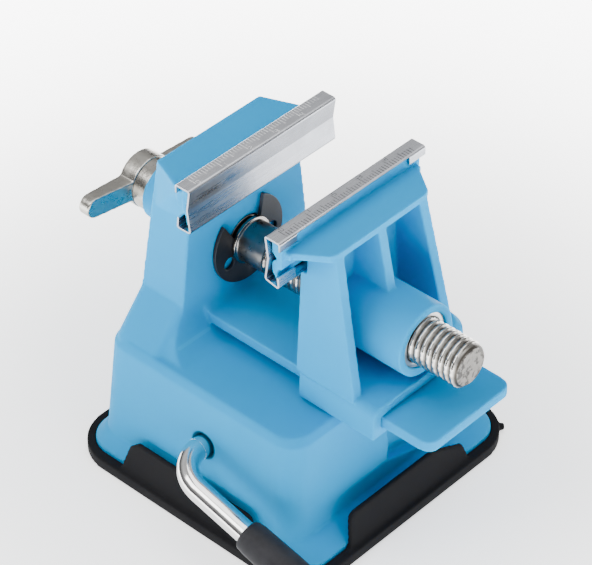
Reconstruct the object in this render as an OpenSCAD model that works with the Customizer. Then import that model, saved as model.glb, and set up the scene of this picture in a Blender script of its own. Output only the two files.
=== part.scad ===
// Small bench vise with a suction base.
// Frame: origin on the table under the centre of the base, +Z up,
// +X along the lead screw towards its free end, +Y along the jaws.

/* [Base] */
// Side of the square foot flange
flange_size = 84; // [76:1:96]
// Corner radius of the foot flange
flange_r = 9; // [5:1:14]
// Height of the deck that the guide tongue stands over
deck_z = 41.4; // [38:0.2:50]
// Distance from the base centre to the back wall, at the deck
block_back = 36.8; // [34:0.2:38]
// Distance from the base centre to the front wall, at the deck
block_front = 33.4; // [28:0.2:37]
// Half of the block's width at the deck
block_half = 36.3; // [32:0.1:38]
// How far the walls lean out from deck to skirt
block_draft = 3.2; // [1:0.1:4]
// Wall thickness of the moulded base
wall = 2.8; // [2:0.1:4]
// Thickness of the front wall behind its recess
front_wall = 2.8; // [2:0.1:4]
// Depth of the recess in the front wall, at the skirt
recess_depth = 3.4; // [2:0.1:4]
// Corner radius of the block
block_r = 7; // [4:0.5:10]

/* [Upright] */
// How far the top of the upright lies below the jaws' top
upright_drop = 4.8; // [4.2:0.1:6]
// Distance of the upright's front face behind the base centre
upright_set = 17.6; // [16:0.1:19]
// Half width of the upright where it meets the jaw
upright_half = 25.2; // [22:0.1:26.5]
// Half width of the upright at its waist, in front
waist_half = 21.3; // [19:0.1:23]
// Half width of the upright at its back edge, at the top
upright_back_half = 19.8; // [16:0.1:22]
// Depth of the upright from front face to back face
upright_depth = 13.4; // [12:0.2:15]
// Radius of the upright's rounded foot
foot_r = 9; // [4:0.5:9]
// Depth of the neck that joins the upright to its jaw
jaw_neck = 7.2; // [6.6:0.1:9]
// Length of the screw boss behind the upright
boss_back_len = 18; // [8:0.5:24]
// Radius of the screw boss behind the upright
boss_back_r = 8.8; // [8.4:0.1:11]

/* [Jaws] */
// Length of the jaws
jaw_len = 56.5; // [45:0.5:70]
// Front to back size of a jaw cover
jaw_depth = 5.5; // [5:0.1:7]
// Height of a jaw cover
jaw_height = 14.2; // [12:0.1:18]
// Height of the top of the jaws above the screw axis
jaw_rise = 35; // [31:0.5:42]
// Opening between the jaws in the rest pose
jaw_gap = 26.2; // [15:0.1:34]
// Depth of the V groove along a jaw's face
groove_depth = 1; // [0.6:0.1:1.3]
// Distance of the V groove below the top of the jaw
groove_drop = 6.9; // [5:0.1:8]
// Thickness of the jaw cover sheet
sheet = 0.6; // [0.4:0.1:0.8]
// Height of the lip behind the jaw at the top
lip_top = 2.8; // [2:0.1:4]
// Height of the lip behind the jaw at the bottom
lip_low = 3.8; // [3:0.1:5]
// How far the moving cover's lower flange hangs at its back
cover_droop = 1.1; // [0.2:0.1:1.4]
// Distance of the plastic bar's end inside the cover's end
bar_inset = 1.3; // [0.6:0.1:3]

/* [Slide] */
// Width of the guide tongue
tongue_w = 33.6; // [26:0.2:38]
// Thickness of the guide tongue
tongue_t = 3.4; // [2.6:0.1:5]
// Height of the tongue's top above the deck
tongue_rise = 7.1; // [6.2:0.1:9]
// Distance of the tongue's tip from the base centre
tongue_tip = 63.4; // [58:0.2:72]
// Running gap between the tongue and its slot, on each side
slide_gap = 0.25; // [0.15:0.05:0.5]
// Width of the rail walls beside the tongue
rail_wall = 3.25; // [2.5:0.05:4.5]
// Length of the moving jaw's rails
rail_len = 26.5; // [22:0.5:34]
// Distance from the moving jaw's face to the start of the rails
rail_setback = 4.7; // [3.6:0.1:6]
// Height of the rail top above the tongue's top
rail_top_h = 3.6; // [2.5:0.1:5]
// Gap between the rail's lips and the web that carries the tongue
web_gap = 1.55; // [1:0.05:4]
// Thickness of the lip under the tongue
rail_lip_t = 2.35; // [1.8:0.05:2.6]
// Width of the lip under the tongue
rail_lip_w = 3; // [2:0.1:5]

/* [Moving jaw] */
// Thickness of the side legs
leg_t = 3.2; // [2.5:0.1:4.5]
// Half width over the legs under the flange
leg_half_top = 17.6; // [15:0.1:19]
// Depth of the legs under the flange
leg_depth_top = 10.6; // [9:0.2:13]
// Depth of the legs at the rails
leg_depth_low = 19.2; // [16:0.2:23]
// Thickness of the front plate and of the middle rib
web_t = 3; // [2:0.1:4]
// Half width of the sloped flange at its back edge
flange_back_half = 19; // [17:0.5:22]
// Thickness of the sloped flange
top_flange_t = 2.2; // [1.6:0.1:3]
// Radius of the nut boss
nut_boss_r = 10.6; // [10.4:0.1:12]

/* [Screw] */
// Height of the screw axis above the table
axis_z = 64.3; // [62:0.1:66]
// Outside diameter of the screw
screw_d = 13.4; // [11:0.2:14]
// Pitch of the thread
pitch = 2.0; // [2:0.25:4]
// Depth of the thread
thread_depth = 0.8; // [0.6:0.05:1.4]
// Distance of the screw's tip from the base centre
screw_tip = 62.3; // [56:0.5:70]
// Radius of the shoulder in front of the clip
shoulder_r = 7.1; // [7:0.1:8]
// Length of the plain neck between shoulder and thread
neck_len = 9; // [5:0.5:12]
// Radial running gap of every shaft in its hole
run_gap = 0.08; // [0.03:0.01:0.1]
// Outside diameter of the retaining clip
clip_d = 26.6; // [22:0.2:28]
// Thickness of the retaining clip
clip_t = 1.1; // [0.8:0.1:1.5]
// Outside radius of the nut insert
nut_r = 8.2; // [7.8:0.1:9.2]
// Length of the nut insert
nut_len = 11; // [8:0.5:15]
// Thickness of the thrust collar behind the boss
collar_t = 4.4; // [2:0.1:6]

/* [Handle] */
// Radius of the handle's hub
hub_r = 8; // [7:0.1:10]
// Length of the hub along the screw
hub_len = 5.5; // [4:0.1:8]
// Tip to tip length of the wings
wing_span = 46.5; // [36:0.5:60]
// Height of a wing's edge
wing_h = 6.3; // [5:0.1:8]
// Thickness of a wing at the hub
wing_t_hub = 5.4; // [4:0.1:5.5]
// Thickness of a wing at its tip
wing_t_tip = 3.8; // [3:0.1:5]
// Turn of the handle in the rest pose, in degrees
wing_angle = -4; // [-45:1:45]

/* [Suction foot] */
// Side of the square rubber pad
pad_size = 90.4; // [88:0.2:104]
// Corner radius of the rubber pad
pad_r = 13.9; // [8:0.1:18]
// Height of the rubber rim
rim_h = 3.7; // [3:0.1:5]
// Thickness of the rubber under the flange
sole_t = 2.2; // [1.6:0.1:2.6]
// Width of the rubber flaps on each side
flap_w = 52; // [30:1:58]
// Thickness of the rubber flaps
flap_t = 1.5; // [1:0.1:2]
// Thickness of the rubber membrane
skin_t = 2; // [1.5:0.1:2.5]
// Radius of the plate on the membrane
plate_r = 24; // [20:0.5:25]
// Thickness of that plate
plate_t = 2; // [1.5:0.1:2.5]

/* [Lever] */
// Distance of the lever shaft in front of the base centre
lever_x = 1.5; // [-4:0.1:4]
// Height of the lever shaft above the table
lever_z = 24.6; // [24:0.1:27]
// Diameter of the lever rod
rod_d = 6.4; // [5:0.1:7]
// Radius of the rod's bend, at its middle
bend_r = 10; // [8:0.5:14]
// Length of the straight arm beyond the bend
arm_len = 44; // [30:1:46]
// How far the arm points below level in the rest pose, in degrees
arm_drop = 14; // [0:1:15]
// Offset of the cam's centre from the shaft
cam_e = 1.5; // [1:0.1:1.6]
// Radius of the cam
cam_r = 6; // [5.5:0.1:6.5]
// Width of the cam along the shaft
cam_w = 9; // [6:0.5:12]
// Gap between the cam and its window
cam_gap = 0.45; // [0.4:0.05:0.6]
// Outside radius of the lever's grip
grip_r = 5; // [4.2:0.1:5]
// Length of the lever's grip
grip_len = 26; // [18:1:28]

/* [Hidden] */
$fn = 64;
eps = 0.01;
soft_fn = 32;

// heights and planes that several pieces share
jaw_top = axis_z + jaw_rise;
upright_top = jaw_top - upright_drop;
upright_front = -upright_set;
upright_back = upright_front - upright_depth;
fixed_face = upright_front + jaw_neck;
moving_face = fixed_face + jaw_gap;
upright_low_neck = -jaw_height + lip_low + 0.25;
bar_half = jaw_len / 2 - bar_inset;
skirt_z = 8;
waist_z = axis_z + 12;
skirt_half = block_half + block_draft;
skirt_front = block_front + block_draft * 0.6;
skirt_back = block_back + block_draft * 0.7;
recess_x = skirt_front - recess_depth;

// slide
tongue_top = deck_z + tongue_rise;
tongue_low = tongue_top - tongue_t;
slot_half = tongue_w / 2 + slide_gap;
tongue_web = slot_half - rail_lip_w - web_gap;
rail_half = slot_half + rail_wall;
rail_x0 = moving_face + rail_setback;
rail_x1 = rail_x0 + rail_len;
rail_top = tongue_top + rail_top_h;
rail_low = tongue_low - slide_gap - rail_lip_t;

// screw line
screw_r = screw_d / 2;
root_r = screw_r - thread_depth;
bore_r = screw_r + run_gap;
clip_x = upright_front + 0.2;
shoulder_x = clip_x + clip_t + 0.05;
thread_x0 = shoulder_x + 1.1 + neck_len;
groove_r = screw_r - 1.4;
boss_back_x = upright_back - boss_back_len;
collar_x = boss_back_x - 0.1 - collar_t;
hub_x = collar_x - hub_len;
stub_r = 4.6;
nut_x1 = rail_x1 - 0.8;
nut_x0 = nut_x1 - nut_len;

// suction foot and lever
foot_lift = 2 * cam_e;
skin_z = foot_lift + 0.2;
plate_z = skin_z + skin_t;
plate_top = plate_z + plate_t;
rod_r = rod_d / 2;
rod_bore_r = rod_r + run_gap;
window_half_h = cam_r + cam_gap;
window_half_w = cam_r + cam_e + 0.6;
window_mid = lever_z + cam_e;
yoke_frame = 2.6;
yoke_low = window_mid - window_half_h - yoke_frame;
neck_r = 6;
bridge_top = yoke_low - foot_lift - 0.3;
bridge_t = 2;
bridge_low = bridge_top - bridge_t;
bridge_post_x = 21;
post_r = 4.2;
pin_r = 1.25;
screw_hole_r = 1.5;
side_z = function_half(lever_z);
bend_y = side_z + 1.6;
arm_y = bend_y + bend_r;
rod_far = side_z + 4;
spring_r = 9;
spring_wire = 0.55;
spring_turns = 3;

// half width of the leaning side wall at a height
function function_half(z) =
    block_half + block_draft * (deck_z - z) / (deck_z - skirt_z);

// ---------- shared shapes ----------

// axis helpers: extrude along +X (profile in Y,Z) and along Y (profile in X,Z)
module along_x(x0, x1) translate([x0, 0, 0]) rotate([90, 0, 90]) linear_extrude(x1 - x0) children();
module along_y(half) translate([0, half, 0]) rotate([90, 0, 0]) linear_extrude(2 * half) children();

// cylinder on a line parallel to X at the screw's height
module x_rod(x0, x1, r) translate([x0, 0, axis_z]) rotate([0, 90, 0]) cylinder(r = r, h = x1 - x0);

// cylinder on a line parallel to Y through the lever shaft
module y_rod(y0, y1, r) translate([lever_x, y0, lever_z]) rotate([-90, 0, 0])
    cylinder(r = r, h = y1 - y0);

// flat rectangle with round corners from x0 to x1 and over +-half in y
module round_rect(x0, x1, half, r) {
    translate([x0, -half + r]) square([x1 - x0, 2 * (half - r)]);
    translate([x0 + r, -half]) square([x1 - x0 - 2 * r, 2 * half]);
    for (x = [x0 + r, x1 - r], y = [-half + r, half - r]) translate([x, y]) circle(r);
}

// thin slab with round corners, used inside hull()
module slab(x0, x1, half, r, z, h = 0.4)
    translate([0, 0, z]) linear_extrude(h) round_rect(x0, x1, half, r, $fn = soft_fn);

// gap between a cover and its bar, and length of the cover's end tabs
bar_gap = 0.15;
tab_len = 6.5;

// ribbon of even thickness to the left of an open path
function seg_normal(a, b) = let (d = b - a) [-d.y, d.x] / norm(d);
function ribbon_side(p, t) = [for (i = [0:len(p) - 1])
    let (n0 = seg_normal(p[max(i - 1, 0)], p[max(i, 1)]),
        n1 = seg_normal(p[min(i, len(p) - 2)], p[min(i + 1, len(p) - 1)]),
        m = (n0 + n1) / norm(n0 + n1))
    p[i] + m * t / (m * n0)];
function ribbon(p, t) = concat(p, [for (i = [len(p) - 1:-1:0]) ribbon_side(p, t)[i]]);

// the jaw cover's bent sheet: x runs back from the face, y is height below the top
function cover_path(droop) = [
    [jaw_depth, -lip_top], [jaw_depth, 0], [0, 0], [groove_depth, -groove_drop],
    [0, -jaw_height], [jaw_depth - 0.2, -jaw_height - droop],
    [jaw_depth - 0.6, -jaw_height - droop + lip_low]];

// cover with its rear lips; cut_top and cut_low leave only end tabs of them
module jaw_cover(droop, cut_top) difference() {
    along_y(jaw_len / 2) polygon(ribbon(cover_path(droop), sheet));
    along_y(jaw_len / 2 - tab_len) {
        translate([jaw_depth - 1.6, -jaw_height - droop + sheet + 0.1]) square([3, lip_low]);
        if (cut_top) translate([jaw_depth - sheet - 0.1, -lip_top - 1]) square([2, lip_top + 0.9 - sheet]);
    }
}

// the plastic bar that a cover is clipped over, with two lobes and a groove
module bar() along_y(bar_half) {
    off = sheet + bar_gap;
    back = jaw_depth - off;
    front = off + 0.6;
    notch = groove_depth + off + 1.4;
    polygon([[back, -off], [front + 0.5, -off], [front, -off - 0.7],
        [front, -groove_drop + 1.6], [notch, -groove_drop], [front, -groove_drop - 1.6],
        [front, -jaw_height + off + 2.2], [front + 1.3, -jaw_height + off + 0.1],
        [jaw_depth - 2.4, -jaw_height + off + 0.1], [jaw_depth - 2.2, -jaw_height + lip_low + 0.4],
        [back, -jaw_height + lip_low + 0.6]]);
}
// neck that carries the bar, between the cover's two rear lips
module bar_neck(half, back, low) along_y(half) translate([jaw_depth - 2, low])
    square([back - jaw_depth + 2, -lip_top - 2 - low]);

// ---------- base ----------

module base_shell() {
    // foot flange and skirt
    hull() {
        slab(-flange_size / 2, flange_size / 2, flange_size / 2, flange_r, sole_t, 2.4);
        slab(-skirt_back, skirt_front, skirt_half, block_r, skirt_z);
    }
    // block with leaning walls and a softened deck edge
    hull() {
        slab(-skirt_back, skirt_front, skirt_half, block_r, sole_t);
        slab(-block_back - 0.2, block_front + 0.2, block_half + 0.2, block_r, deck_z - 2.6);
        slab(-block_back + 1.4, block_front - 1.4, block_half - 1.4, block_r, deck_z - 0.4);
    }
    // shoulders that sweep from the block's sides up into the upright
    hull() {
        slab(-block_back + 1.4, upright_front, block_half - 1.4, 4, deck_z - 0.8);
        slab(upright_back - 2.6, upright_front, waist_half + 3.9, 2, deck_z + 12.5);
    }
    // upright: a waist in the middle, flared to the jaw's length at the top
    hull() {
        upright_slab(deck_z + 6, waist_half + 4.4, waist_half + 4.4, upright_back - 2.6);
        upright_slab(waist_z, waist_half, waist_half + 0.9, upright_back - 0.6);
        upright_slab(upright_top - 0.8, upright_back_half + 0.4, upright_back_half, upright_back);
    }
    hull() {
        upright_slab(upright_top - 0.8, upright_half, upright_back_half, upright_back);
        upright_slab(waist_z + 3, waist_half - 0.3, waist_half, upright_back - 0.4);
    }
}

module upright_slab(z, half, back_half, back)
    translate([0, 0, z]) linear_extrude(0.8) polygon([[upright_front, -half],
        [upright_front, half], [back, back_half], [back, -back_half]]);

// rounded foot of the upright, in front; its ends fade out down the shoulders
module foot_fillet() intersection() {
    along_y(block_half) difference() {
        translate([upright_front - 1, deck_z - 1]) square([foot_r + 1, foot_r + 1]);
        translate([upright_front + foot_r, deck_z + foot_r]) circle(foot_r);
    }
    along_x(upright_front - 2, upright_front + foot_r + 1) polygon([
        [-waist_half - 2, deck_z + foot_r + 4], [waist_half + 2, deck_z + foot_r + 4],
        [waist_half + 4.6, deck_z + foot_r], [block_half - 3, deck_z - 0.4], [block_half - 3, deck_z - 2],
        [-block_half + 3, deck_z - 2], [-block_half + 3, deck_z - 0.4], [-waist_half - 4.6, deck_z + foot_r]]);
}

module tongue() {
    translate([0, 0, tongue_low]) linear_extrude(tongue_t)
        round_rect(upright_front - 2, tongue_tip, tongue_w / 2, 3.5);
    // rounded joint between the tongue and the upright
    along_y(tongue_w / 2) difference() {
        translate([upright_front - 1, tongue_top - 0.5]) square([4, 3.5]);
        translate([upright_front + 3, tongue_top + 3]) circle(3);
    }
    // web between the tongue and the deck
    translate([upright_front - 1, -tongue_web, deck_z - 1])
        cube([block_front - 1.5 - upright_front, 2 * tongue_web, tongue_low - deck_z + 1.4]);
}

// hollow inside of the base and of the upright
module base_hollow() {
    hull() {
        slab(-skirt_back + wall, recess_x - front_wall, skirt_half - wall, 4.5, sole_t - 1);
        slab(-block_back + wall + 0.8, recess_x - front_wall - 0.6, block_half - wall, 4,
            deck_z - wall - 0.4);
    }
    hull() {
        slab(upright_back + 3, upright_front - 3.6, upright_half - 6, 1.5, deck_z - wall - 3);
        slab(upright_back + 3.6, upright_front - 3.6, upright_half - 7, 1.5, axis_z - 16);
    }
}

module base_body() color("skyblue") {
    difference() {
        union() {
            difference() {
                union() {
                    base_shell();
                    foot_fillet();
                    x_rod(boss_back_x, upright_back + 2, boss_back_r);
                }
                base_hollow();
            }
            tongue();
            translate([fixed_face, 0, jaw_top]) mirror([1, 0, 0]) {
                bar();
                bar_neck(upright_half, jaw_neck + 1, upright_low_neck);
            }
            // posts for the bridge plate, down from under the deck
            for (s = [-1, 1]) translate([lever_x + s * bridge_post_x, 0, bridge_top])
                cylinder(r = post_r, h = deck_z - wall / 2 - bridge_top);
            // bearing bosses inside both side walls
            for (s = [-1, 1]) mirror([0, s < 0 ? 1 : 0, 0])
                y_rod(side_z - wall - 3.2, side_z - 0.6, rod_r + 3);
        }
        x_rod(boss_back_x - 1, upright_front + 1, bore_r);
        y_rod(-side_z - 4, side_z + 4, rod_bore_r);
        // recess in the far half of the front wall, under the tongue
        along_x(recess_x, skirt_front + 6) polygon([[0.4, deck_z - 7], [0.6, 14], [12, 10.8],
            [block_half - 8, 7.4], [block_half - 5.4, 8], [block_half - 4.4, 9.8],
            [block_half - 4.9, deck_z - 7]]);
        // mouth of the lever's hole
        y_rod(-side_z - 2, -side_z + 1, rod_bore_r + 0.4);
        for (s = [-1, 1]) translate([lever_x + s * bridge_post_x, 0, bridge_top - 1])
            cylinder(r = screw_hole_r, h = 11);
    }
}

module fixed_jaw_cover() color("gainsboro")
    translate([fixed_face, 0, jaw_top]) mirror([1, 0, 0]) jaw_cover(0.2, false);

// ---------- moving jaw ----------

// outline of a side leg, and of the rib: x back from the jaw's front plate, y is height
module leg_outline(front) polygon([[front, rail_top - 1], [front, jaw_top - 5.6],
    [rail_x0 + leg_depth_top - 0.8, jaw_top - 5.6], [rail_x0 + leg_depth_top, jaw_top - 6.2],
    [rail_x0 + leg_depth_low, rail_top + 1.5], [rail_x0 + leg_depth_low, rail_top - 1]]);

module top_flange() {
    x0 = moving_face + jaw_depth + bar_gap;
    x1 = rail_x0 + leg_depth_top;
    top = jaw_top - lip_top - 1.8;
    translate([0, 0, top - top_flange_t]) linear_extrude(top_flange_t) polygon([
        [x0 - 0.5, -bar_half + 1.4], [x1 - 0.8, -flange_back_half], [x1, -flange_back_half + 2],
        [x1, flange_back_half - 2], [x1 - 0.8, flange_back_half], [x0 - 0.5, bar_half - 1.4]]);
}

module side_leg() intersection() {
    along_y(rail_half) leg_outline(rail_x0 - 1.1);
    along_x(rail_x0 - 2, rail_x1) polygon([[leg_half_top, jaw_top], [rail_half, rail_top - 2],
        [rail_half - leg_t, rail_top - 2], [leg_half_top - leg_t, jaw_top]]);
}

module rails() difference() {
    translate([0, 0, rail_low]) linear_extrude(rail_top - rail_low)
        translate([rail_x0, -rail_half]) square([rail_len, 2 * rail_half]);
    along_x(rail_x0 - 1, rail_x1 + 1) {
        translate([-slot_half, tongue_low - slide_gap]) square([2 * slot_half, tongue_t + 2 * slide_gap]);
        translate([-slot_half + rail_lip_w, rail_low - 1])
            square([2 * (slot_half - rail_lip_w), tongue_t + 3]);
        // soft top corners
        for (s = [-1, 1]) scale([s, 1]) translate([rail_half, rail_top]) difference() {
            translate([-3, -3]) square(4);
            translate([-3, -3]) circle(3);
        }
    }
}

// legs, front plate and middle rib
module jaw_walls() {
    side_leg();
    mirror([0, 1, 0]) side_leg();
    along_x(rail_x0 - 1.1, rail_x0 - 1.1 + web_t) polygon([
        [-leg_half_top + 1, jaw_top - 5.6], [leg_half_top - 1, jaw_top - 5.6],
        [rail_half - 1, rail_top - 1], [-rail_half + 1, rail_top - 1]]);
    along_y(web_t / 2) leg_outline(rail_x0);
}

module moving_jaw() color("skyblue") difference() {
    union() {
        translate([moving_face, 0, jaw_top]) {
            bar();
            bar_neck(leg_half_top, jaw_depth + 2, upright_low_neck);
            bar_neck(bar_half - 1.4, jaw_depth + 1, -lip_top - 1.8 - top_flange_t);
        }
        top_flange();
        rails();
        difference() {
            union() {
                jaw_walls();
            }
            // room for the cover above and behind the walls' front
            translate([moving_face - 1, -jaw_len, jaw_top - jaw_height - cover_droop - 0.2])
                cube([jaw_depth + 1 + bar_gap, 2 * jaw_len, jaw_height + 9]);
        }
        x_rod(rail_x0 - 1.1, rail_x1, nut_boss_r);
    }
    x_rod(rail_x0 - 3, rail_x1 + 1, screw_r + 0.5);
    x_rod(nut_x0, rail_x1 + 1, nut_r);
}

module moving_jaw_cover() color("gainsboro") translate([moving_face, 0, jaw_top])
    jaw_cover(cover_droop, true);

module jaw_nut() color("silver") difference() {
    x_rod(nut_x0, nut_x1, nut_r);
    x_rod(nut_x0 - 1, nut_x1 + 1, bore_r);
}

// ---------- screw and handle ----------

// radius and place of the four corners of one thread, as parts of a pitch
thread_corners = [[0.06, 0], [0.32, 1], [0.62, 1], [0.88, 0]];
thread_steps = 20;

// thread surface from x = 0, centred on the X axis, with a fan at each end
module thread_body(turns) {
    n = thread_steps;
    m = len(thread_corners);
    rows = n * turns;
    pts = [for (s = [0:rows], c = thread_corners)
        let (a = 360 * s / n, r = root_r + thread_depth * c[1])
        [pitch * (s / n + c[0]), r * cos(a), r * sin(a)]];
    ends = [[-pitch / 2, 0, 0], [pitch * (turns + 1.5), 0, 0]];
    tip = len(pts);
    faces = concat(
        // along the flanks and the crest
        [for (s = [0:rows - 1], j = [0:m - 2]) let (a = s * m + j, b = a + m) [a, a + 1, b + 1]],
        [for (s = [0:rows - 1], j = [0:m - 2]) let (a = s * m + j, b = a + m) [a, b + 1, b]],
        // the root, from one turn to the next
        [for (s = [0:rows - n - 1]) let (a = s * m + m - 1, b = (s + n) * m) [a, b, b + m]],
        [for (s = [0:rows - n - 1]) let (a = s * m + m - 1, b = (s + n) * m) [a, b + m, a + m]],
        // first and last turn, closed to a point on the axis
        [for (s = [0:n - 1]) [tip, s * m, (s + 1) * m]],
        [for (j = [0:m - 2]) [tip, j + 1, j]],
        [[tip, n * m, m - 1]],
        [for (s = [rows - n:rows - 1]) [tip + 1, (s + 1) * m + m - 1, s * m + m - 1]],
        [for (j = [0:m - 2]) [tip + 1, rows * m + j, rows * m + j + 1]],
        [[tip + 1, (rows - n) * m + m - 1, rows * m]]);
    polyhedron(concat(pts, ends), faces, convexity = 8);
}

module lead_screw() color("silver") {
    turns = ceil((screw_tip - thread_x0) / pitch) + 2;
    intersection() {
        translate([thread_x0 - 1.5 * pitch, 0, axis_z]) thread_body(turns);
        x_rod(thread_x0, screw_tip - 1, screw_r + 1);
    }
    // plain end with its chamfer
    translate([screw_tip - 1, 0, axis_z]) rotate([0, 90, 0]) cylinder(r1 = root_r + 0.3, r2 = root_r - 0.5, h = 1);
    x_rod(shoulder_x, shoulder_x + 1.1, shoulder_r);
    x_rod(shoulder_x, thread_x0 + 0.5, screw_r - 0.4);
    difference() {
        x_rod(collar_x, shoulder_x + 0.5, screw_r);
        // groove for the clip
        translate([clip_x - 0.05, 0, axis_z]) rotate([0, 90, 0]) difference() {
            cylinder(r = screw_r + 1, h = clip_t + 0.1);
            translate([0, 0, -1]) cylinder(r = groove_r, h = clip_t + 3);
        }
    }
    x_rod(hub_x + 0.6, collar_x + 0.5, stub_r);
}

module wing_handle() color("silver") translate([0, 0, axis_z]) rotate([wing_angle, 0, 0])
    translate([0, 0, -axis_z]) difference() {
        union() {
            x_rod(hub_x, collar_x, hub_r);
            intersection() {
                // plan: thick at the hub, thinner at the tips
                translate([0, 0, axis_z - wing_h]) linear_extrude(2 * wing_h) polygon([
                    [collar_x - 0.1, 0], [collar_x - 0.2, hub_r],
                    [hub_x + wing_t_tip, wing_span / 2], [hub_x, wing_span / 2],
                    [collar_x - wing_t_hub, 0], [hub_x, -wing_span / 2],
                    [hub_x + wing_t_tip, -wing_span / 2], [collar_x - 0.2, -hub_r]]);
                // outline seen along the screw, with round tips
                along_x(hub_x - 1, collar_x) translate([0, axis_z]) {
                    square([wing_span - wing_h, wing_h], center = true);
                    for (s = [-1, 1]) translate([s * (wing_span - wing_h) / 2, 0]) circle(wing_h / 2);
                }
            }
        }
        x_rod(hub_x + 0.6, collar_x + 1, stub_r);
    }

module thrust_collar() color("silver") difference() {
    x_rod(collar_x, collar_x + collar_t, hub_r - 0.2);
    x_rod(collar_x - 1, collar_x + collar_t + 1, bore_r);
}

// open clip in the screw's groove, its mouth up and towards -Y
module retaining_clip() color("dimgray") along_x(clip_x, clip_x + clip_t) translate([0, axis_z])
    difference() {
        circle(clip_d / 2);
        circle(groove_r);
        rotate(100) {
            polygon([[2, -groove_r + 0.8], [clip_d, -clip_d * 0.52], [clip_d, clip_d * 0.52],
                [2, groove_r - 0.8]]);
            for (s = [-1, 1]) rotate(s * 108) translate([clip_d * 0.338, 0]) circle(clip_d * 0.073);
        }
    }

// ---------- suction foot ----------

// one flap: a leaning wall of rubber beside the flange; half is where the flange ends
module flap(half, slope = 2) {
    lean = 2.2;
    top = rim_h + 10.2;
    y0 = half + 0.3;
    intersection() {
        rotate([90, 0, 90]) translate([0, 0, -flap_w / 2]) linear_extrude(flap_w)
            polygon([[y0, rim_h - 1], [y0 + flap_t, rim_h - 1], [y0 + flap_t, rim_h + 0.5],
                [y0 + flap_t - lean, top], [y0 - lean, top], [y0, rim_h + 1.8]]);
        along_y(flange_size) polygon([[-flap_w / 2, 0], [flap_w / 2, 0],
            [flap_w / 2 - 3, top - 1.8 - slope / 4], [flap_w / 2 - 4 - slope, top],
            [-flap_w / 2 + 5.5, top], [-flap_w / 2 + 4, top - 0.5], [-flap_w / 2 + 3, top - 1.8]]);
    }
}

module suction_pad() color("dimgray") {
    // sole under the flange, and the rim round it
    difference() {
        linear_extrude(rim_h) round_rect(-pad_size / 2, pad_size / 2, pad_size / 2, pad_r);
        translate([0, 0, sole_t]) linear_extrude(rim_h)
            round_rect(-flange_size / 2, flange_size / 2, flange_size / 2, flange_r);
        translate([lever_x, 0, -1]) cylinder(r = plate_r + 6, h = rim_h + 2);
    }
    // membrane, lifted in the middle
    translate([lever_x, 0, 0]) rotate_extrude() polygon([[0, skin_z], [plate_r, skin_z],
        [plate_r + 4.4, 0], [plate_r + 6 + eps, 0], [plate_r + 6 + eps, sole_t],
        [plate_r + 5.2, sole_t], [plate_r + 0.6, skin_z + skin_t], [0, skin_z + skin_t]]);
    // flaps on the two sides and at the back
    for (a = [0, 90, 180]) rotate(a) flap(flange_size / 2);
    // the front one slopes down at its far end
    mirror([1, 0, 0]) rotate(90) flap(flange_size / 2, 11);
    // moulding nub at the front corner
    translate([pad_size / 2 - pad_r, pad_size / 2 - pad_r, rim_h / 2]) rotate([0, 90, 50])
        translate([0, 0, pad_r - 1]) cylinder(r = 1.1, h = 2.6);
}

module pad_plate() color("silver") translate([lever_x, 0, plate_z]) difference() {
    cylinder(r = plate_r, h = plate_t);
    translate([0, 0, -1]) cylinder(r = 4.1, h = 2.4);
    translate([0, 0, -1]) cylinder(r = 2.1, h = plate_t + 2);
}

// yoke with a window that the cam turns in, on a round neck
module pull_stem() color("white") {
    half_w = window_half_w + yoke_frame;
    difference() {
        union() {
            translate([lever_x, 0, 0]) along_y(cam_w / 2 + 0.5) polygon([
                [-half_w, yoke_low], [half_w, yoke_low],
                [half_w, window_mid + window_half_h + 1], [half_w - 2, window_mid + window_half_h + yoke_frame],
                [-half_w + 2, window_mid + window_half_h + yoke_frame], [-half_w, window_mid + window_half_h + 1]]);
            translate([lever_x, 0, plate_top]) cylinder(r = neck_r, h = yoke_low + 0.5 - plate_top);
        }
        along_y(cam_w) translate([lever_x - window_half_w, window_mid - window_half_h])
            square([2 * window_half_w, 2 * window_half_h]);
        translate([lever_x, 0, plate_top - 1]) cylinder(r = 2, h = 9);
    }
}

module stem_screw() color("silver") translate([lever_x, 0, plate_z]) {
    translate([0, 0, 0.1]) cylinder(r = 4, h = 1.3);
    translate([0, 0, 1]) cylinder(r = 2, h = plate_t + 6.5);
}

// compression spring between the plate and the bridge
module return_spring() color("silver") {
    n = 20;
    sides = 8;
    len_s = bridge_low - plate_top - 2 * spring_wire - 0.2;
    rows = n * (spring_turns + 1);
    pts = [for (s = [0:rows], k = [0:sides - 1])
        let (a = 360 * s / n, b = 360 * k / sides, r = spring_r + spring_wire * cos(b))
        [r * cos(a), r * sin(a), spring_wire * sin(b)
            // half a turn lies flat at each end
            + len_s * min(max((s - n / 2) / (rows - n), 0), 1)]];
    faces = concat(
        [for (s = [0:rows - 1], k = [0:sides - 1])
            let (a = s * sides + k, b = s * sides + (k + 1) % sides) [a, b + sides, b]],
        [for (s = [0:rows - 1], k = [0:sides - 1])
            let (a = s * sides + k, b = s * sides + (k + 1) % sides) [a, a + sides, b + sides]],
        [[for (k = [0:sides - 1]) k]],
        [[for (k = [sides - 1:-1:0]) rows * sides + k]]);
    translate([lever_x, 0, plate_top + 0.1 + spring_wire]) polyhedron(pts, faces, convexity = 8);
}

module bridge_plate() color("silver") difference() {
    translate([0, 0, bridge_low]) linear_extrude(bridge_t)
        round_rect(lever_x - bridge_post_x - 5, lever_x + bridge_post_x + 5, 11, 4);
    translate([lever_x, 0, bridge_low - 1]) cylinder(r = neck_r + 0.4, h = bridge_t + 2);
    for (s = [-1, 1]) translate([lever_x + s * bridge_post_x, 0, bridge_low - 1])
        cylinder(r = screw_hole_r + 0.15, h = bridge_t + 2);
}

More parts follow.
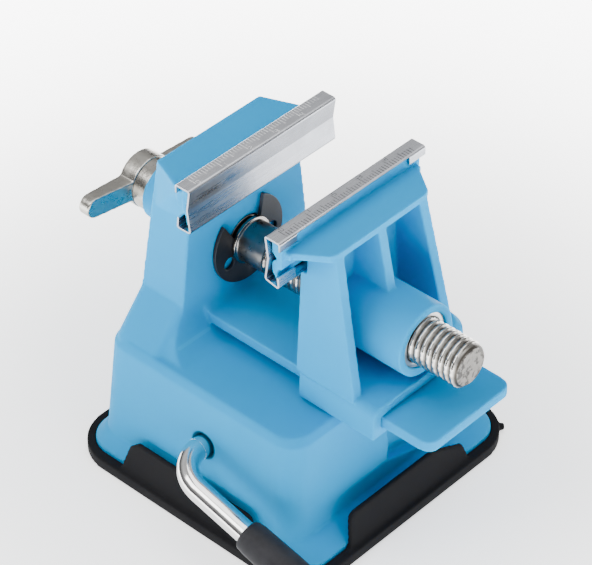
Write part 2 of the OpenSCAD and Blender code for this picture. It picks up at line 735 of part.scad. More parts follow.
module bridge_screws() color("silver")
    for (s = [-1, 1]) translate([lever_x + s * bridge_post_x, 0, bridge_low]) {
        cylinder(r = screw_hole_r - 0.05, h = bridge_t + 8);
        translate([0, 0, -1.9]) difference() {
            cylinder(r = 2.9, h = 1.9);
            translate([-2, -0.35, -1]) cube([4, 0.7, 1.8]);
        }
    }

// ---------- lever ----------

// turns what is drawn along +X into the arm's direction
module at_arm() translate([lever_x, 0, lever_z]) rotate([0, arm_drop, 0]) children();

module lever_rod() color("silver") difference() {
    union() {
        y_rod(-bend_y - 0.3, rod_far, rod_r);
        at_arm() {
            translate([bend_r, -bend_y, 0]) rotate(180) rotate_extrude(angle = 90)
                translate([bend_r, 0]) circle(rod_r - 0.04);
            translate([bend_r - 0.3, -arm_y, 0]) rotate([0, 90, 0]) cylinder(r = rod_r, h = arm_len + 0.3);
        }
    }
    translate([lever_x, 0, lever_z - 2 * cam_r]) cylinder(r = pin_r, h = 4 * cam_r);
}

module lever_cam() color("dimgray") difference() {
    translate([0, 0, cam_e]) y_rod(-cam_w / 2, cam_w / 2, cam_r);
    y_rod(-cam_w, cam_w, rod_r);
    translate([lever_x, 0, lever_z - 2 * cam_r]) cylinder(r = pin_r, h = 4 * cam_r);
}

module cam_pin() color("silver") translate([lever_x, 0, lever_z + cam_e - cam_r + 0.5])
    cylinder(r = pin_r, h = 2 * cam_r - 1);

module lever_grip() color("dimgray") at_arm() translate([bend_r + arm_len - grip_len, -arm_y, 0])
    rotate([0, 90, 0]) difference() {
        rotate_extrude() polygon([[0, 0], [grip_r - 1.2, 0], [grip_r - 0.5, 0.5],
            [grip_r - 0.2, 3], [grip_r, grip_len * 0.6], [grip_r, grip_len],
            [grip_r - 0.5, grip_len + 1.4], [grip_r - 1.8, grip_len + 2.2], [0, grip_len + 2.4]]);
        translate([0, 0, -1]) cylinder(r = rod_r, h = grip_len + 1);
    }

// spring steel push nut on the rod's far end
module push_nut() color("silver") difference() {
    union() {
        y_rod(side_z + 0.5, side_z + 1.1, rod_r + 3.4);
        y_rod(side_z + 1, side_z + 2.4, rod_r + 1);
    }
    y_rod(side_z - 1, side_z + 4, rod_r);
}

base_body();
fixed_jaw_cover();
moving_jaw();
moving_jaw_cover();
jaw_nut();
lead_screw();
wing_handle();
thrust_collar();
retaining_clip();
suction_pad();
pad_plate();
pull_stem();
stem_screw();
return_spring();
bridge_plate();
bridge_screws();
lever_rod();
lever_cam();
cam_pin();
lever_grip();
push_nut();
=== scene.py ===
import math

import bmesh
import bpy
from mathutils import Matrix, Vector


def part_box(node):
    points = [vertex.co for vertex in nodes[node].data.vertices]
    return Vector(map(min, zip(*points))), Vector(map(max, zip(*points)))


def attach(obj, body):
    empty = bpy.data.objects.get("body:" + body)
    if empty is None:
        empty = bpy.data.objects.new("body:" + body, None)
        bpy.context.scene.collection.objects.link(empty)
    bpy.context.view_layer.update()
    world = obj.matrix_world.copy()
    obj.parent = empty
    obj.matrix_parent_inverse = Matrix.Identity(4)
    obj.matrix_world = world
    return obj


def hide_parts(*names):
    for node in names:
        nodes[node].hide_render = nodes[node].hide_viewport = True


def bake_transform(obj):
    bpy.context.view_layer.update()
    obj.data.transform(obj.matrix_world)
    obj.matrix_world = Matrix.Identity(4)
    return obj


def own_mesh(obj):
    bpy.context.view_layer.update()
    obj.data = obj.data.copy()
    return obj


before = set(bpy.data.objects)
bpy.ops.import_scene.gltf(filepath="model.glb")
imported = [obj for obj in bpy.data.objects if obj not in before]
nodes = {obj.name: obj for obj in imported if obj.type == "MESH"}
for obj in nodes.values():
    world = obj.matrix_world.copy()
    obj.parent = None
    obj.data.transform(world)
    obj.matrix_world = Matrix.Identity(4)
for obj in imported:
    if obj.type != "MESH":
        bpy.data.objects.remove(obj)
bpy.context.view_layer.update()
MM = 0.001
SCREW_HEIGHT = 0.0643
LEVER_AXIS = (0.0015, 0, 0.0246)


# ---------- camera, at the photograph's angle ----------

AZIMUTH, ELEVATION = math.radians(42.60), math.radians(39.58)
CAMERA_AT = Vector((0.42355, -0.45966, 0.57454))


def make_camera():
    data = bpy.data.cameras.new("camera")
    data.sensor_width = 36
    data.lens = 182.43
    data.clip_start = 0.05
    data.clip_end = 20
    cam = bpy.data.objects.new("camera", data)
    bpy.context.scene.collection.objects.link(cam)
    back = Vector((math.sin(AZIMUTH) * math.cos(ELEVATION),
                   -math.cos(AZIMUTH) * math.cos(ELEVATION), math.sin(ELEVATION)))
    right = Vector((math.cos(AZIMUTH), math.sin(AZIMUTH), 0))
    turn = Matrix((right, back.cross(right), back)).transposed()
    cam.matrix_world = Matrix.Translation(CAMERA_AT) @ turn.to_4x4()
    bpy.context.scene.camera = cam


make_camera()


# ---------- material helpers ----------

def new_material(name):
    mat = bpy.data.materials.new(name)
    mat.use_nodes = True
    tree = mat.node_tree
    shader = tree.nodes["Principled BSDF"]
    return mat, tree, shader


def noise(tree, scale, detail=4, rough=0.55, stretch=(1, 1, 1), distort=0.0):
    """Noise in the row frame; scale is in features per metre."""
    coord = tree.nodes.new("ShaderNodeTexCoord")
    mapping = tree.nodes.new("ShaderNodeMapping")
    mapping.inputs["Scale"].default_value = stretch
    tex = tree.nodes.new("ShaderNodeTexNoise")
    tex.inputs["Scale"].default_value = scale
    tex.inputs["Detail"].default_value = detail
    tex.inputs["Roughness"].default_value = rough
    tex.inputs["Distortion"].default_value = distort
    tree.links.new(coord.outputs["Object"], mapping.inputs["Vector"])
    tree.links.new(mapping.outputs["Vector"], tex.inputs["Vector"])
    return tex.outputs["Fac"]


def remap(tree, value, low, high, to_low, to_high, curve="LINEAR"):
    node = tree.nodes.new("ShaderNodeMapRange")
    node.interpolation_type = curve
    for name, number in (("From Min", low), ("From Max", high), ("To Min", to_low), ("To Max", to_high)):
        node.inputs[name].default_value = number
    tree.links.new(value, node.inputs["Value"])
    return node.outputs["Result"]


def ramp(tree, value, *stops):
    """Colour ramp; each stop is (position, (r, g, b))."""
    node = tree.nodes.new("ShaderNodeValToRGB")
    band = node.color_ramp
    band.elements[0].position, band.elements[-1].position = stops[0][0], stops[-1][0]
    for place, colour in stops[1:-1]:
        band.elements.new(place)
    for element, (place, colour) in zip(band.elements, stops):
        element.position = place
        element.color = (*colour, 1)
    tree.links.new(value, node.inputs["Fac"])
    return node.outputs["Color"]


def mix_colour(tree, factor, a, b, mode="MIX"):
    node = tree.nodes.new("ShaderNodeMix")
    node.data_type = "RGBA"
    node.blend_type = mode
    sockets = [s for s in node.inputs if s.type == "RGBA"]
    for socket, value in ((node.inputs[0], factor), (sockets[0], a), (sockets[1], b)):
        if isinstance(value, bpy.types.NodeSocket):
            tree.links.new(value, socket)
        elif isinstance(value, tuple):
            socket.default_value = (*value, 1)
        else:
            socket.default_value = value
    return [s for s in node.outputs if s.type == "RGBA"][0]


def bump(tree, shader, *layers):
    """Each layer is (height, strength, distance in metres)."""
    normal = None
    for height, strength, distance in layers:
        node = tree.nodes.new("ShaderNodeBump")
        node.inputs["Strength"].default_value = strength
        node.inputs["Distance"].default_value = distance
        tree.links.new(height, node.inputs["Height"])
        if normal is not None:
            tree.links.new(normal, node.inputs["Normal"])
        normal = node.outputs["Normal"]
    tree.links.new(normal, shader.inputs["Normal"])


def edges(tree, low=0.5, high=0.56, most=1.0):
    """0 on flat areas and in corners, most along outer edges."""
    geometry = tree.nodes.new("ShaderNodeNewGeometry")
    return remap(tree, geometry.outputs["Pointiness"], low, high, 0.0, most)


def maths(tree, operation, a, b):
    node = tree.nodes.new("ShaderNodeMath")
    node.operation = operation
    tree.links.new(a, node.inputs[0])
    tree.links.new(b, node.inputs[1])
    return node.outputs["Value"]


def place_on(tree, centre, keep):
    """Distance from centre in the directions kept, and the place along X, both in metres in the row frame."""
    coord = tree.nodes.new("ShaderNodeTexCoord")
    move, flat, size = (tree.nodes.new("ShaderNodeVectorMath") for _ in range(3))
    split = tree.nodes.new("ShaderNodeSeparateXYZ")
    move.operation, flat.operation, size.operation = "SUBTRACT", "MULTIPLY", "LENGTH"
    move.inputs[1].default_value, flat.inputs[1].default_value = centre, keep
    tree.links.new(coord.outputs["Object"], move.inputs[0])
    tree.links.new(move.outputs["Vector"], flat.inputs[0])
    tree.links.new(flat.outputs["Vector"], size.inputs[0])
    tree.links.new(coord.outputs["Object"], split.inputs["Vector"])
    return size.outputs["Value"], split.outputs["X"]


# ---------- materials ----------

def blue_plastic():
    mat, tree, shader = new_material("blue_plastic")
    broad = noise(tree, 22, 3, 0.5)
    colour = ramp(tree, broad, (0.3, (0.0001, 0.236, 0.500)), (0.7, (0.0002, 0.260, 0.540)))
    pale_edge = mix_colour(tree, edges(tree, 0.51, 0.62, 0.4), colour, (0.004, 0.34, 0.62))
    # painted shadow in the mouth of the hole that the lever's rod turns in: a dark ring on the face that stands in
    # for the shaded bore
    around, _ = place_on(tree, LEVER_AXIS, (1, 0, 1))
    bore_shadow = mix_colour(tree, remap(tree, around, 0.0040, 0.0045, 0.85, 0.0), pale_edge, (0.0, 0.018, 0.035))
    tree.links.new(bore_shadow, shader.inputs["Base Color"])
    grain = noise(tree, 3800, 3, 0.6)
    smear = noise(tree, 130, 5, 0.6)
    tree.links.new(remap(tree, smear, 0.3, 0.7, 0.42, 0.56), shader.inputs["Roughness"])
    shader.inputs["Subsurface Weight"].default_value = 0.30
    shader.inputs["Subsurface Radius"].default_value = (0.35, 1.0, 1.3)
    shader.inputs["Subsurface Scale"].default_value = 0.0022
    shader.inputs["Specular IOR Level"].default_value = 0.04
    shader.inputs["Specular Tint"].default_value = (0.2, 0.75, 1.0, 1)
    bump(tree, shader, (noise(tree, 60, 2, 0.4), 0.10, 0.0006), (grain, 0.09, 0.00008))
    return mat


def sheet_metal():
    mat, tree, shader = new_material("jaw_sheet")
    streak = noise(tree, 900, 5, 0.65, stretch=(1.0, 0.03, 1.0))
    patch = noise(tree, 120, 4, 0.6)
    speck = noise(tree, 2600, 2, 0.5)
    tone = ramp(tree, patch, (0.30, (0.52, 0.535, 0.57)), (0.72, (0.68, 0.695, 0.73)))
    spots = remap(tree, speck, 0.60, 0.72, 0.0, 0.35)
    tone = mix_colour(tree, spots, tone, (0.34, 0.35, 0.38))
    # the upright faces get painted shade, darker the less they face up; the tops keep the full tone
    coord = tree.nodes.new("ShaderNodeTexCoord")
    split = tree.nodes.new("ShaderNodeSeparateXYZ")
    tree.links.new(coord.outputs["Normal"], split.inputs["Vector"])
    side_shade = remap(tree, split.outputs["Z"], 0.25, 0.85, 1.0, 0.0)
    tone = mix_colour(tree, side_shade, tone, (0.50, 0.51, 0.53), "MULTIPLY")
    tree.links.new(tone, shader.inputs["Base Color"])
    shader.inputs["Metallic"].default_value = 1.0
    tree.links.new(remap(tree, streak, 0.3, 0.7, 0.20, 0.36), shader.inputs["Roughness"])
    bump(tree, shader, (streak, 0.12, 0.00006), (patch, 0.10, 0.0002))
    return mat


def nickel(name, base, rough_low, rough_high, grime=0.5, cast=0.0):
    mat, tree, shader = new_material(name)
    patch = noise(tree, 260, 5, 0.6)
    fine = noise(tree, 2200, 3, 0.6)
    dark = tuple(c * 0.55 for c in base)
    tone = ramp(tree, patch, (0.28, tuple(c * 0.86 for c in base)), (0.70, base))
    geometry = tree.nodes.new("ShaderNodeNewGeometry")
    hollow = remap(tree, geometry.outputs["Pointiness"], 0.42, 0.495, grime, 0.0)
    tone = mix_colour(tree, hollow, tone, dark)
    tree.links.new(tone, shader.inputs["Base Color"])
    shader.inputs["Metallic"].default_value = 1.0
    tree.links.new(remap(tree, patch, 0.3, 0.7, rough_low, rough_high), shader.inputs["Roughness"])
    layers = [(fine, 0.06, 0.00005)]
    if cast:
        layers.insert(0, (noise(tree, 420, 4, 0.6), cast, 0.0002))
    bump(tree, shader, *layers)
    return mat


def worn_screw(name, height, end):
    """Plated thread: bright crests, dark grooves, stains, a painted dark reflection on the neck, and a cropped end
    with pits.
    """
    mat, tree, shader = new_material(name)
    patch = noise(tree, 260, 5, 0.6)
    radius, along = place_on(tree, (0, 0, height), (0, 1, 1))
    tone = ramp(tree, patch, (0.30, (0.44, 0.43, 0.405)), (0.68, (0.66, 0.65, 0.62)))
    stain = remap(tree, noise(tree, 150, 4, 0.6), 0.48, 0.70, 0.0, 0.65)
    tone = mix_colour(tree, stain, tone, (0.27, 0.24, 0.20))
    # painted dark reflection on the neck of the screw, next to the jaw
    neck_reflection = remap(tree, along, 0.002, 0.013, 0.75, 0.0)
    tone = mix_colour(tree, neck_reflection, tone, (0.12, 0.11, 0.10))
    groove = remap(tree, radius, 0.0059, 0.0065, 1.0, 0.0)
    tone = mix_colour(tree, groove, tone, (0.060, 0.055, 0.048))
    face = remap(tree, along, end - 0.00035, end - 0.0002, 0.0, 1.0)
    pits = noise(tree, 620, 3, 0.6)
    tone = mix_colour(tree, face, tone, ramp(tree, pits, (0.40, (0.05, 0.048, 0.045)), (0.50, (0.16, 0.155, 0.145))))
    tree.links.new(tone, shader.inputs["Base Color"])
    shader.inputs["Metallic"].default_value = 1.0
    matt = remap(tree, radius, 0.0058, 0.0066, 0.30, 0.0)
    tree.links.new(maths(tree, "ADD", remap(tree, patch, 0.3, 0.7, 0.12, 0.26), matt), shader.inputs["Roughness"])
    bump(tree, shader, (maths(tree, "MULTIPLY", pits, face), 0.6, 0.0006), (noise(tree, 2200, 3, 0.6), 0.06, 0.00005))
    return mat


def black_steel():
    mat, tree, shader = new_material("clip_black")
    fine = noise(tree, 1500, 4, 0.6)
    tone = ramp(tree, fine, (0.3, (0.004, 0.004, 0.005)), (0.75, (0.012, 0.012, 0.014)))
    tree.links.new(mix_colour(tree, edges(tree, 0.51, 0.60), tone, (0.06, 0.06, 0.065)), shader.inputs["Base Color"])
    tree.links.new(remap(tree, fine, 0.3, 0.7, 0.38, 0.55), shader.inputs["Roughness"])
    shader.inputs["Metallic"].default_value = 0.25
    shader.inputs["Specular IOR Level"].default_value = 0.3
    bump(tree, shader, (fine, 0.12, 0.00006))
    return mat


def rubber(name, base, rough=(0.68, 0.85)):
    mat, tree, shader = new_material(name)
    fine = noise(tree, 2600, 4, 0.6)
    dust = noise(tree, 170, 5, 0.65)
    tone = ramp(tree, dust, (0.35, base), (0.78, tuple(c * 1.9 for c in base)))
    tree.links.new(tone, shader.inputs["Base Color"])
    tree.links.new(remap(tree, dust, 0.3, 0.7, rough[0], rough[1]), shader.inputs["Roughness"])
    shader.inputs["Specular IOR Level"].default_value = 0.12
    bump(tree, shader, (fine, 0.18, 0.00008), (noise(tree, 90, 2), 0.15, 0.0004))
    return mat


def plain_plastic(name, base):
    mat, tree, shader = new_material(name)
    fine = noise(tree, 2200, 3, 0.6)
    tone = ramp(tree, noise(tree, 60, 3), (0.3, tuple(c * 0.9 for c in base)), (0.7, base))
    tree.links.new(tone, shader.inputs["Base Color"])
    tree.links.new(remap(tree, fine, 0.3, 0.7, 0.42, 0.55), shader.inputs["Roughness"])
    bump(tree, shader, (fine, 0.10, 0.00006))
    return mat


def tick_mark(name, worn_away, fresh):
    mat, tree, shader = new_material(name)
    worn = noise(tree, 900, 4, 0.7)
    tree.links.new(ramp(tree, worn, (0.34, worn_away), (0.58, fresh)), shader.inputs["Base Color"])
    shader.inputs["Metallic"].default_value = 0.3
    tree.links.new(remap(tree, worn, 0.3, 0.7, 0.35, 0.6), shader.inputs["Roughness"])
    bump(tree, shader, (worn, 0.2, 0.00004))
    return mat


BLUE = blue_plastic()
SHEET = sheet_metal()
SCREW = worn_screw("screw_nickel", SCREW_HEIGHT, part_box("lead_screw")[1].x)
HANDLE = nickel("handle_nickel", (0.41, 0.395, 0.36), 0.20, 0.40, 0.85, cast=0.38)
NUT = nickel("nut_steel", (0.56, 0.56, 0.55), 0.28, 0.42, 0.7)
ROD = nickel("rod_nickel", (0.72, 0.72, 0.71), 0.07, 0.16, 0.3)
ZINC = nickel("inner_steel", (0.60, 0.61, 0.62), 0.24, 0.40, 0.5)
CLIP = black_steel()
RUBBER = rubber("rubber", (0.005, 0.005, 0.006))
GRIP = rubber("grip", (0.014, 0.014, 0.016), (0.42, 0.6))
WHITE = plain_plastic("stem_white", (0.74, 0.74, 0.70))
CAM = plain_plastic("grip_plastic", (0.03, 0.03, 0.033))
PALE_MARK = tick_mark("pale_mark", (0.42, 0.43, 0.45), (0.88, 0.89, 0.90))
DARK_MARK = tick_mark("dark_mark", (0.22, 0.225, 0.24), (0.05, 0.052, 0.06))

LOOKS = {
    "base_body": BLUE, "moving_jaw": BLUE,
    "fixed_jaw_cover": SHEET, "moving_jaw_cover": SHEET,
    "lead_screw": SCREW, "wing_handle": HANDLE, "thrust_collar": HANDLE, "jaw_nut": NUT,
    "retaining_clip": CLIP, "suction_pad": RUBBER, "lever_grip": GRIP, "lever_rod": ROD,
    "pad_plate": ZINC, "stem_screw": ZINC, "return_spring": ZINC, "bridge_plate": ZINC,
    "bridge_screws": ZINC, "cam_pin": ZINC, "push_nut": ZINC,
    "pull_stem": WHITE, "lever_cam": CAM,
}
for name, mat in LOOKS.items():
    mesh = nodes[name].data
    mesh.materials.clear()
    mesh.materials.append(mat)


# ---------- soft edges on the moulded and cast pieces ----------

def weld(obj):
    mod = obj.modifiers.new("weld", "WELD")
    mod.merge_threshold = 0.000002


def soften(name, voxel, passes):
    """Even mesh over the piece, then smoothed, which rounds every edge a little."""
    obj = nodes[name] if isinstance(name, str) else name
    weld(obj)
    remesh = obj.modifiers.new("even", "REMESH")
    remesh.mode = "VOXEL"
    remesh.voxel_size = voxel * MM * 1
    remesh.use_smooth_shade = True
    smooth = obj.modifiers.new("soft", "SMOOTH")
    smooth.factor = 0.5
    smooth.iterations = passes
    smooth_by_face(obj)


def smooth_by_face(obj):
    for poly in obj.data.polygons:
        poly.use_smooth = True


def round_edges(name, width, segments=3, angle=28):
    obj = nodes[name]
    weld(obj)
    bevel = obj.modifiers.new("round", "BEVEL")
    bevel.width = width * MM
    bevel.segments = segments
    bevel.limit_method = "ANGLE"
    bevel.angle_limit = math.radians(angle)
    bevel.use_clamp_overlap = True
    bevel.harden_normals = False
    smooth_by_face(obj)
    normals = obj.modifiers.new("normals", "WEIGHTED_NORMAL")
    normals.keep_sharp = False


soften("base_body", 0.40, 8)
soften("moving_jaw", 0.28, 8)
soften("wing_handle", 0.26, 9)
soften("lead_screw", 0.22, 4)
soften("lever_grip", 0.35, 4)
soften("pull_stem", 0.35, 4)
for name, width in (("thrust_collar", 0.35), ("retaining_clip", 0.14), ("jaw_nut", 0.25), ("pad_plate", 0.3),
                    ("bridge_plate", 0.25), ("bridge_screws", 0.2), ("stem_screw", 0.2),
                    ("push_nut", 0.12), ("cam_pin", 0.2), ("lever_cam", 0.3), ("lever_rod", 0.5)):
    round_edges(name, width)


# ---------- rubber foot in two pieces, and the spring -------------------------------------------

def new_object(name, bm, material):
    mesh = bpy.data.meshes.new(name)
    bm.to_mesh(mesh)
    bm.free()
    mesh.materials.append(material)
    obj = bpy.data.objects.new(name, mesh)
    bpy.context.scene.collection.objects.link(obj)
    return obj


def welded_copy(node):
    bm = bmesh.new()
    bm.from_mesh(nodes[node].data)
    bmesh.ops.remove_doubles(bm, verts=bm.verts, dist=0.000002)
    return bm


PLATE_R, RING_R = 24, 29.5
SKIN_UNDER, SKIN_OVER, SOLE_T = 0.0032, 0.0052, 0.0022
plate_low, plate_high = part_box("pad_plate")
LIFT_X = (plate_low.x + plate_high.x) / 2


def foot():
    ring = new_object("pad_ring", welded_copy("suction_pad"), RUBBER)
    bm = bmesh.new()
    bmesh.ops.create_cone(bm, cap_ends=True, segments=128, radius1=RING_R * MM, radius2=RING_R * MM, depth=0.06,
                          matrix=Matrix.Translation((LIFT_X, 0, 0)))
    cutter = new_object("cutter", bm, RUBBER)
    cut = ring.modifiers.new("cut", "BOOLEAN")
    cut.operation, cut.solver, cut.object = "DIFFERENCE", "EXACT", cutter
    bpy.context.view_layer.update()
    whole = ring.data
    ring.data = bpy.data.meshes.new_from_object(ring.evaluated_get(bpy.context.evaluated_depsgraph_get()))
    ring.modifiers.clear()
    bpy.data.meshes.remove(whole)
    bpy.data.objects.remove(cutter)
    soften(ring, 0.45, 4)
    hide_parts("suction_pad")
    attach(ring, "base")

    # radius in millimetres, height in metres
    profile = [(0, SKIN_UNDER), (PLATE_R - 0.6, SKIN_UNDER), (PLATE_R + 0.4, SKIN_UNDER - 0.0004),
               (PLATE_R + 4.0, 0.0003), (PLATE_R + 4.9, 0.00001), (RING_R + 0.1, 0.00001), (RING_R + 0.1, SOLE_T),
               (PLATE_R + 5.0, SOLE_T), (PLATE_R + 1.0, SKIN_OVER - 0.0003), (PLATE_R, SKIN_OVER - 0.00002),
               (0, SKIN_OVER - 0.00002)]
    bm = bmesh.new()
    points = [bm.verts.new((LIFT_X + r * MM, 0, z)) for r, z in profile]
    outline = [bm.edges.new(pair) for pair in zip(points, points[1:])]
    bmesh.ops.spin(bm, geom=points + outline, cent=(LIFT_X, 0, 0), axis=(0, 0, 1), angle=math.tau, steps=96)
    bmesh.ops.remove_doubles(bm, verts=bm.verts, dist=0.000005)
    bmesh.ops.recalc_face_normals(bm, faces=bm.faces)
    skin = new_object("pad_membrane", bm, RUBBER)
    smooth_by_face(skin)
    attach(skin, "base")
    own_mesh(skin)


def spring():
    obj = new_object("spring_coil", welded_copy("return_spring"), ZINC)
    smooth_by_face(obj)
    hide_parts("return_spring")
    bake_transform(obj)


foot()
spring()


# ---------- bent sheet covers, with rounded bends ----------

JAW_LEN, JAW_DEPTH, JAW_HEIGHT = 56.5, 5.5, 14.2
GROOVE_DEPTH, GROOVE_DROP = 1.0, 6.9
LIP_TOP, LIP_LOW, SHEET_T, TAB = 2.8, 3.8, 0.6, 6.5


def offset_path(points, distance):
    """Miter offset to the left of an open path."""
    out = []
    for i, p in enumerate(points):
        before = (points[i] - points[i - 1]).normalized() if i else (points[1] - points[0]).normalized()
        after = (points[i + 1] - p).normalized() if i + 1 < len(points) else before
        n0, n1 = Vector((-before.y, before.x)), Vector((-after.y, after.x))
        m = (n0 + n1).normalized()
        out.append(p + m * distance / m.dot(n0))
    return out


def fillet_path(points, radius, steps):
    """Rounds each inner corner; returns points, and the first and last index of each arc."""
    out, arcs = [points[0]], []
    for a, p, b in zip(points, points[1:], points[2:]):
        u, v = (a - p).normalized(), (b - p).normalized()
        half = math.acos(max(-1.0, min(1.0, u.dot(v)))) / 2
        cut = min(radius / math.tan(half), 0.45 * (a - p).length, 0.45 * (b - p).length)
        real = cut * math.tan(half)
        centre = p + (u + v).normalized() * real / math.sin(half)
        start, end = p + u * cut - centre, p + v * cut - centre
        turn = math.atan2(start.x * end.y - start.y * end.x, start.dot(end))
        arcs.append((len(out), len(out) + steps))
        for k in range(steps + 1):
            angle = turn * k / steps
            out.append(centre + Vector((start.x * math.cos(angle) - start.y * math.sin(angle),
                                        start.x * math.sin(angle) + start.y * math.cos(angle))))
    out.append(points[-1])
    return out, arcs


def jaw_cover(name, node, body, sign, droop, cut_top):
    low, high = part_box(node)
    face = high.x if sign < 0 else low.x
    outer = [Vector(p) for p in (
        (JAW_DEPTH, -LIP_TOP), (JAW_DEPTH, 0), (0, 0), (GROOVE_DEPTH, -GROOVE_DROP), (0, -JAW_HEIGHT),
        (JAW_DEPTH - 0.2, -JAW_HEIGHT - droop), (JAW_DEPTH - 0.6, -JAW_HEIGHT - droop + LIP_LOW))]
    centre, arcs = fillet_path(offset_path(outer, SHEET_T / 2), 0.55, 5)
    # the first bend leads to the top lip, the last bend to the low lip
    keep_from = arcs[0][0] + 2 if cut_top else 0
    keep_to = arcs[-1][1] - 1
    left, right = offset_path(centre, SHEET_T / 2), offset_path(centre, -SHEET_T / 2)
    middle = (low.y + high.y) / 2
    reach = JAW_LEN / 2 * MM
    stations = [-reach, -reach + TAB * MM, reach - TAB * MM, reach]
    bm = bmesh.new()
    made = {}

    def vert(i, side, j):
        key = (i, side, j)
        if key not in made:
            p = (right, left)[side][i]
            made[key] = bm.verts.new((face + sign * p.x * MM, middle + stations[j], high.z + p.y * MM))
        return made[key]

    def cell(i, j):
        return 0 <= i < len(centre) - 1 and 0 <= j < 3 and (j != 1 or keep_from <= i < keep_to)

    for i in range(len(centre) - 1):
        for j in range(3):
            if not cell(i, j):
                continue
            corners = ((i, j), (i + 1, j), (i + 1, j + 1), (i, j + 1))
            bm.faces.new([vert(a, 0, b) for a, b in corners])
            bm.faces.new([vert(a, 1, b) for a, b in reversed(corners)])
            for di, dj, ends in ((-1, 0, ((i, j), (i, j + 1))), (1, 0, ((i + 1, j + 1), (i + 1, j))),
                                 (0, -1, ((i + 1, j), (i, j))), (0, 1, ((i, j + 1), (i + 1, j + 1)))):
                if not cell(i + di, j + dj):
                    (a0, b0), (a1, b1) = ends
                    bm.faces.new((vert(a0, 0, b0), vert(a1, 0, b1), vert(a1, 1, b1), vert(a0, 1, b0)))
    bmesh.ops.recalc_face_normals(bm, faces=bm.faces)
    # cross cuts split the long edges of the thin sheet
    long_edges = [e for e in bm.edges if (e.verts[0].co - e.verts[1].co).length > 0.03]
    bmesh.ops.subdivide_edges(bm, edges=long_edges, cuts=24, use_grid_fill=True)
    mesh = bpy.data.meshes.new(name)
    bm.to_mesh(mesh)
    bm.free()
    mesh.materials.append(SHEET)
    obj = bpy.data.objects.new(name, mesh)
    bpy.context.scene.collection.objects.link(obj)
    bevel = obj.modifiers.new("round", "BEVEL")
    bevel.width = 0.09 * MM
    bevel.segments = 2
    bevel.limit_method = "ANGLE"
    bevel.angle_limit = math.radians(50)
    smooth_by_face(obj)
    normals = obj.modifiers.new("normals", "WEIGHTED_NORMAL")
    normals.keep_sharp = False
    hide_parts(node)
    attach(obj, body)


jaw_cover("fixed_jaw_sheet", "fixed_jaw_cover", "base", -1, 0.2, False)
jaw_cover("moving_jaw_sheet", "moving_jaw_cover", "jaw", 1, 1.1, True)


# ---------- ruler marks on the jaw covers ----------

SEGMENTS = {"0": "abcdef", "1": "bc", "2": "abged", "3": "abgcd", "4": "fgbc"}
STROKES = {"a": ((0, 2), (1, 2)), "b": ((1, 1), (1, 2)), "c": ((1, 0), (1, 1)), "d": ((0, 0), (1, 0)),
           "e": ((0, 0), (0, 1)), "f": ((0, 1), (0, 2)), "g": ((0, 1), (1, 1))}


def flat_bar(bm, a, b, width, z, height):
    """Thin raised bar from a to b, both (x, y)."""
    a, b = Vector(a), Vector(b)
    along = (b - a).normalized()
    side = Vector((-along.y, along.x)) * width / 2
    along *= width / 2
    low, high = [], []
    for p in (a - along + side, a - along - side, b + along - side, b + along + side):
        low.append(bm.verts.new((p.x, p.y, z)))
        high.append(bm.verts.new((p.x, p.y, z + height)))
    bm.faces.new(high)
    bm.faces.new(low[::-1])
    for i in range(4):
        j = (i + 1) % 4
        bm.faces.new((low[i], low[j], high[j], high[i]))


def ruler(name, node, body, back_side, mark, width):
    low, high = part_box(node)
    top = high.z - 0.00001
    # ticks start at the rear edge of the top face
    edge = low.x + 0.0009 if back_side < 0 else high.x - 0.0009
    inward = 1 if back_side < 0 else -1
    bm = bmesh.new()
    start = (low.y + high.y) / 2 - 0.0245
    for i in range(50):
        length = 0.0030 if i % 10 == 0 else 0.0023 if i % 5 == 0 else 0.0016
        y = start + i * MM
        flat_bar(bm, (edge, y), (edge + inward * length, y), width, top, 0.00004)
    for ten in range(5):
        x0 = edge + inward * 0.0024
        y0 = start + ten * 0.010 + 0.0006
        for stroke in SEGMENTS[str(ten)]:
            (u0, v0), (u1, v1) = STROKES[stroke]
            flat_bar(bm, (x0 + inward * (1 - v0 / 2) * 0.0013, y0 + u0 * 0.0008),
                     (x0 + inward * (1 - v1 / 2) * 0.0013, y0 + u1 * 0.0008), 0.00014, top, 0.00004)
    mesh = bpy.data.meshes.new(name)
    bm.to_mesh(mesh)
    bm.free()
    mesh.materials.append(mark)
    obj = bpy.data.objects.new(name, mesh)
    bpy.context.scene.collection.objects.link(obj)
    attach(obj, body)


ruler("fixed_ruler_marks", "fixed_jaw_cover", "base", -1, PALE_MARK, 0.00018)
ruler("moving_ruler_marks", "moving_jaw_cover", "jaw", 1, DARK_MARK, 0.00024)


# ---------- floor, light, surroundings ----------

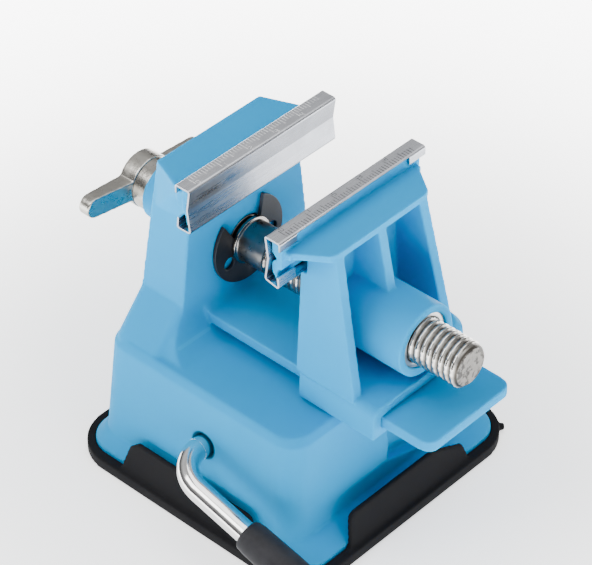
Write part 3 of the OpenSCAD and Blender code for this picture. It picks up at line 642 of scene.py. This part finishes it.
def make_floor():
    bm = bmesh.new()
    size = 3.0
    for x, y in ((-size, -size), (size, -size), (size, size), (-size, size)):
        bm.verts.new((x, y, 0))
    bm.faces.new(bm.verts)
    mesh = bpy.data.meshes.new("floor")
    bm.to_mesh(mesh)
    bm.free()
    mat, tree, shader = new_material("floor")
    shader.inputs["Base Color"].default_value = (0.93, 0.93, 0.93, 1)
    shader.inputs["Roughness"].default_value = 0.8
    shader.inputs["Specular IOR Level"].default_value = 0.1
    # the floor glows: painted light, dimmer close round the object, which leaves a painted soft shadow there, and
    # brighter further out
    shader.inputs["Emission Color"].default_value = (1, 1, 1, 1)
    away, _ = place_on(tree, (0, 0, 0), (1, 1, 0))
    tree.links.new(remap(tree, away, 0.04, 0.30, 1.2, 7.5, "SMOOTHERSTEP"), shader.inputs["Emission Strength"])
    mesh.materials.append(mat)
    floor = bpy.data.objects.new("floor", mesh)
    bpy.context.scene.collection.objects.link(floor)


def area_light(name, place, size, power, aim=(0, 0, 0.05), colour=(1, 1, 1)):
    data = bpy.data.lights.new(name, "AREA")
    data.shape = "RECTANGLE"
    data.size, data.size_y = size
    data.energy = power
    data.color = colour
    lamp = bpy.data.objects.new(name, data)
    bpy.context.scene.collection.objects.link(lamp)
    lamp.location = place
    lamp.rotation_euler = (Vector(place) - Vector(aim)).to_track_quat("Z", "Y").to_euler()


def make_world():
    world = bpy.data.worlds.new("studio")
    bpy.context.scene.world = world
    world.use_nodes = True
    tree = world.node_tree
    background = tree.nodes["Background"]
    coord = tree.nodes.new("ShaderNodeTexCoord")
    split = tree.nodes.new("ShaderNodeSeparateXYZ")
    tree.links.new(coord.outputs["Generated"], split.inputs["Vector"])
    node = tree.nodes.new("ShaderNodeValToRGB")
    band = node.color_ramp
    band.elements[0].position, band.elements[0].color = 0.0, (0.80, 0.80, 0.80, 1)
    band.elements[1].position, band.elements[1].color = 1.0, (1.0, 1.0, 1.0, 1)
    for place, tone in ((0.10, 0.30), (0.28, 0.20), (0.46, 0.75), (0.62, 1.35)):
        band.elements.new(place).color = (tone, tone, tone * 1.01, 1)
    tree.links.new(split.outputs["Z"], node.inputs["Fac"])
    tree.links.new(node.outputs["Color"], background.inputs["Color"])
    background.inputs["Strength"].default_value = 0.65


make_floor()
make_world()
area_light("key", (-0.35, -0.75, 1.05), (0.8, 0.6), 11.5)
area_light("top", (0.15, 0.10, 1.30), (1.1, 1.1), 13)
area_light("fill", (0.95, -0.10, 0.55), (0.5, 0.8), 2.2)


# ---------- end ----------

bpy.context.view_layer.update()
